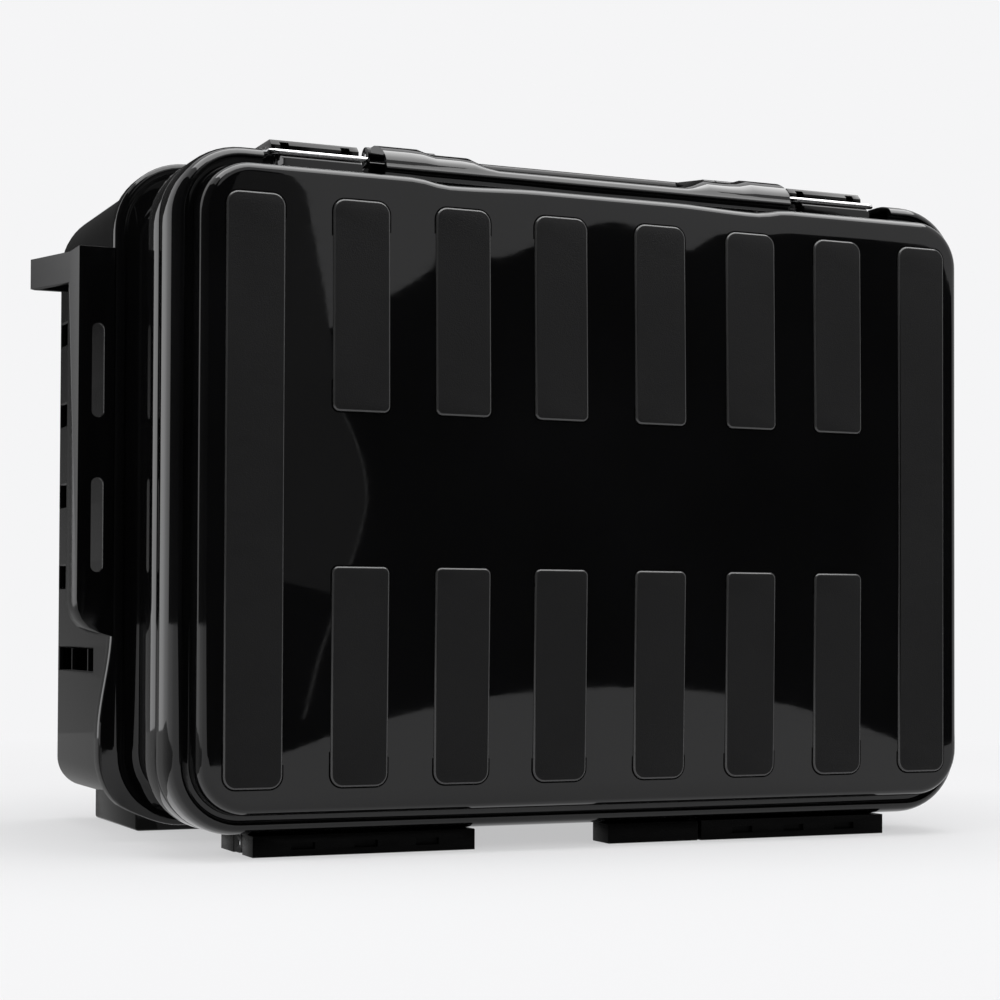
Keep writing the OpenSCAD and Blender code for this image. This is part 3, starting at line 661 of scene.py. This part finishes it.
def make_world():
    world = bpy.data.worlds.new("studio")
    bpy.context.scene.world = world
    world.use_nodes = True
    nodes, links = world.node_tree.nodes, world.node_tree.links
    nodes.clear()
    output = nodes.new("ShaderNodeOutputWorld")
    backdrop = nodes.new("ShaderNodeBackground")
    backdrop.inputs["Color"].default_value = BACKGROUND
    fill = nodes.new("ShaderNodeBackground")
    fill.inputs["Color"].default_value = (1, 1, 1, 1)
    fill.inputs["Strength"].default_value = 0.55
    mix = nodes.new("ShaderNodeMixShader")
    links.new(background_rays(nodes, links), mix.inputs["Fac"])
    links.new(fill.outputs[0], mix.inputs[1])
    links.new(backdrop.outputs[0], mix.inputs[2])
    links.new(mix.outputs[0], output.inputs["Surface"])


def make_floor():
    mesh = bpy.data.meshes.new("floor")
    size = 30
    corners = [(-size, -size, 0), (size, -size, 0), (size, size, 0), (-size, size, 0)]
    mesh.from_pydata(corners, [], [(0, 1, 2, 3)])
    floor = link("floor", mesh)
    floor.location.z = -0.0004
    material = bpy.data.materials.new("pale_floor")
    material.use_nodes = True
    nodes, links = material.node_tree.nodes, material.node_tree.links
    nodes.clear()
    output = nodes.new("ShaderNodeOutputMaterial")
    plain = nodes.new("ShaderNodeBsdfDiffuse")
    plain.inputs["Color"].default_value = (0.80, 0.80, 0.81, 1)
    glow = nodes.new("ShaderNodeEmission")
    glow.inputs["Color"].default_value = BACKGROUND
    mix = nodes.new("ShaderNodeMixShader")
    coords = nodes.new("ShaderNodeTexCoord")
    distance = nodes.new("ShaderNodeVectorMath")
    distance.operation = "LENGTH"
    links.new(coords.outputs["Object"], distance.inputs[0])
    near_share, far_share = 0.55, 1.0
    fade = add_range(nodes, links, distance.outputs["Value"], near_share, far_share, 0.35, 1.1)
    share = nodes.new("ShaderNodeMath")
    share.operation = "MULTIPLY"
    links.new(background_rays(nodes, links), share.inputs[0])
    links.new(fade, share.inputs[1])
    links.new(share.outputs[0], mix.inputs["Fac"])
    links.new(plain.outputs[0], mix.inputs[1])
    links.new(glow.outputs[0], mix.inputs[2])
    links.new(mix.outputs[0], output.inputs["Surface"])
    mesh.materials.append(material)


def glow_material(name, low, high, low_z, high_z):
    """An even glow that changes from one grey to another with height."""
    material = bpy.data.materials.new(name)
    material.use_nodes = True
    nodes, links = material.node_tree.nodes, material.node_tree.links
    nodes.clear()
    output = nodes.new("ShaderNodeOutputMaterial")
    glow = nodes.new("ShaderNodeEmission")
    if low == high:
        glow.inputs["Color"].default_value = (low, low, low, 1)
    else:
        coords = nodes.new("ShaderNodeTexCoord")
        split = nodes.new("ShaderNodeSeparateXYZ")
        links.new(coords.outputs["Object"], split.inputs[0])
        level = add_range(nodes, links, split.outputs["Z"], low, high, low_z, high_z)
        links.new(level, glow.inputs["Color"])
    links.new(glow.outputs[0], output.inputs["Surface"])
    return material


def make_card(name, outline, y, low=0.002, high=None, low_z=0.0, high_z=0.6):
    """An upright card that only reflections see, as a studio sets round a glossy object."""
    mesh = bpy.data.meshes.new(name)
    mesh.from_pydata([(x, y, z) for x, z in outline], [], [list(range(len(outline)))])
    card = link(name, mesh)
    mesh.materials.append(glow_material(name, low, low if high is None else high, low_z, high_z))
    only_in_reflections(card)
    return card


def make_flat_card(name, corners, level):
    """A card through the given corners, with one even level."""
    mesh = bpy.data.meshes.new(name)
    mesh.from_pydata(corners, [], [list(range(len(corners)))])
    card = link(name, mesh)
    mesh.materials.append(glow_material(name, level, level, 0, 1))
    only_in_reflections(card)


def only_in_reflections(piece):
    piece.visible_camera = False
    piece.visible_diffuse = False
    piece.visible_shadow = False
    piece.visible_transmission = False


def arc(start, end, rise, count=12):
    """Points of a shallow arch from start to end."""
    (x0, z0), (x1, z1) = start, end
    points = []
    for k in range(count + 1):
        t = k / count
        points.append((x0 + (x1 - x0) * t, z0 + (z1 - z0) * t + rise * 4 * t * (1 - t)))
    return points


def soft_line(points, count=6):
    """A smooth line through the points."""
    result = []
    for i in range(len(points) - 1):
        p0, p1 = points[max(i - 1, 0)], points[i]
        p2, p3 = points[i + 1], points[min(i + 2, len(points) - 1)]
        for k in range(count):
            t = k / count
            result.append(tuple(0.5 * (2 * b + (c - a) * t + (2 * a - 5 * b + 4 * c - d) * t * t
                                       + (3 * b - a - 3 * c + d) * t ** 3)
                                for a, b, c, d in zip(p0, p1, p2, p3)))
    result.append(points[-1])
    return result


def make_cards():
    """Dark and grey cards round the case, which keep the polished plastic black."""
    front_y = -0.80
    upper = soft_line([(0.045, 0.373), (0.11, 0.415), (0.15, 0.445), (0.165, 0.466), (0.215, 0.466),
                       (0.257, 0.485), (0.33, 0.516), (0.375, 0.505), (0.411, 0.492), (0.455, 0.511),
                       (0.59, 0.506), (0.69, 0.477), (0.80, 0.46)])
    lower = arc((0.64, 0.002), (0.02, 0.002), 0.036)
    outline = [(-0.45, 0.0), (-0.45, 0.75), (0.035, 0.75)] + upper + [(1.3, 0.46), (1.3, 0.0)] + lower
    make_card("front_card", outline, front_y)
    edge = soft_line([(0.038, 0.60), (0.041, 0.467), (0.045, 0.373), (0.048, 0.31), (0.057, 0.284),
                      (0.068, 0.252), (0.071, 0.22), (0.064, 0.185), (0.0555, 0.158), (0.045, 0.138)])
    make_card("grey_card", [(-0.042, 0.60)] + edge + [(-0.042, 0.16)], front_y + 0.01, 0.16)
    rim = soft_line([(0.050, 0.30), (0.057, 0.284), (0.068, 0.252), (0.071, 0.22), (0.064, 0.185),
                     (0.0555, 0.158), (0.045, 0.12), (0.035, 0.08), (0.028, 0.03)])
    thin = 0.0028
    make_card("bright_line", rim + [(x + thin, z) for x, z in reversed(rim)], front_y + 0.012, 0.42)
    make_card("back_card", [(-0.590, 0.0), (-0.590, 1.4), (1.2, 1.4), (1.2, 0.0)], 1.2, 0.17, 0.04, 0.0, 0.45)
    make_flat_card("left_card", [(-1.3, -0.82, 0.12), (-1.3, 0.90, 0.12), (-1.3, 0.90, 1.6),
                                 (-1.3, -0.82, 1.6)], 0.03)
    make_card("front_left_card", [(-1.32, 0.12), (-1.32, 1.6), (-0.44, 1.6), (-0.44, 0.0)], -0.81, 0.002)
    make_flat_card("floor_card", [(-1.2, 0.0, 0.001), (-0.20, 0.0, 0.001), (-0.20, 0.17, 0.001),
                                  (1.2, 0.17, 0.001), (1.2, 1.2, 0.001), (-1.2, 1.2, 0.001)], 0.22)
    make_flat_card("overhead_card", [(-0.9, -1.1, 1.6), (1.3, -1.1, 1.6), (1.3, 0.7, 1.6),
                                     (-0.9, 0.7, 1.6)], 5.0)


def make_softbox(name, location, target, size, watts):
    data = bpy.data.lights.new(name, "AREA")
    data.shape = "RECTANGLE"
    data.size, data.size_y = size
    data.energy = watts
    lamp = bpy.data.objects.new(name, data)
    bpy.context.scene.collection.objects.link(lamp)
    lamp.location = location
    lamp.rotation_euler = (Vector(target) - Vector(location)).to_track_quat("-Z", "Y").to_euler()
    lamp.visible_camera = False
    lamp.visible_glossy = False
    return lamp


def make_studio():
    make_world()
    make_floor()
    middle = (0, 0, 0.18)
    make_softbox("top_softbox", (0.2, -0.2, 1.9), middle, (1.8, 1.4), 22)
    make_softbox("left_softbox", (-1.9, 0.3, 0.9), middle, (1.0, 1.4), 12)
    make_softbox("front_softbox", (1.3, -2.0, 1.5), middle, (1.2, 0.9), 14)
    make_cards()


# ---------------------------------------------------------------- all pieces

SLOT_OF = {s["node"]: s["material_slot"] for s in frame["record"]["subparts"]}


def main():
    scene = bpy.context.scene
    scene.view_settings.view_transform = "Standard"
    make_camera()
    materials = make_materials()
    make_lid(materials)
    make_pads(materials)
    make_tub(materials)
    done = {"lid_shell", "base_shell", "long_pads", "upper_pads", "lower_pads"}
    bevels = {"latch_bail_left": 0, "latch_bail_right": 0, "hinge_rods": 0.2, "handle_pins": 0.3,
              "latch_pin_left": 0.2, "latch_pin_right": 0.2, "rail_screws": 0.2, "lug_screws": 0.2,
              "lid_gasket": 0.4, "rear_foot_left": 2.0, "rear_foot_right": 2.0,
              "side_rail_left": 1.2, "side_rail_right": 1.2, "handle_lug_left": 1.2, "handle_lug_right": 1.2,
              "hinge_block_left": 1.0, "hinge_block_right": 1.0, "lid_leaf_left": 0.9, "lid_leaf_right": 0.9}
    for node in NODES:
        if node not in done:
            hinge_part = node.startswith(("hinge_block", "lid_leaf", "lid_foot"))
            dress(node, materials, bevels.get(node, 0.6), finish="hinge_plastic" if hinge_part else None)
    make_studio()


main()
